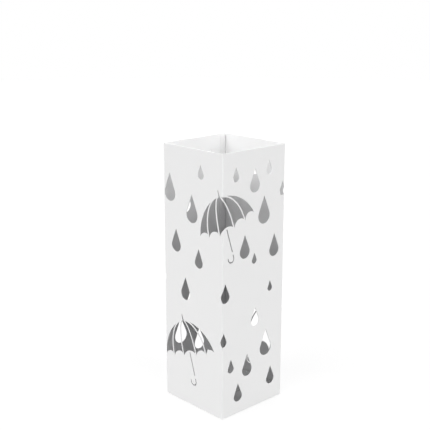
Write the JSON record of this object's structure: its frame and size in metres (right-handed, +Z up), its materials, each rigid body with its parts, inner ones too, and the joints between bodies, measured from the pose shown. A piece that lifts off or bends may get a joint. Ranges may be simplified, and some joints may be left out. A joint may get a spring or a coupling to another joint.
{
  "type": "umbrella stand",
  "caption": "Tall square sheet-steel umbrella stand, white powder coat, with umbrella and raindrop cut-outs that wrap its corners, a welded floor, rubber pads and a lift-out drip tray.",
  "frame": {"origin": "middle of the footprint, on the floor under the pads", "axes": "+Z up; the -Y and +X walls are the two in view and meet at the front corner; the seam is in the back corner, at -X +Y"},
  "size_m": [0.155, 0.155, 0.49],
  "materials": {
    "white_coat": "satin white powder coat",
    "tray_plastic": "fine moulded grain",
    "pad_rubber": "matt"
  },
  "bodies": {
    "stand": {"sleeve": "white_coat", "base_pan": "white_coat", "foot_pad_front_left": "pad_rubber", "foot_pad_front_right": "pad_rubber", "foot_pad_back_left": "pad_rubber", "foot_pad_back_right": "pad_rubber"},
    "tray": {"drip_tray": "tray_plastic"}
  },
  "joints": [
    {"name": "tray_lift", "type": "slide", "parent": "stand", "child": "tray", "axis": [0, 0, 1], "range_m": [0, 0.49]}
  ]
}
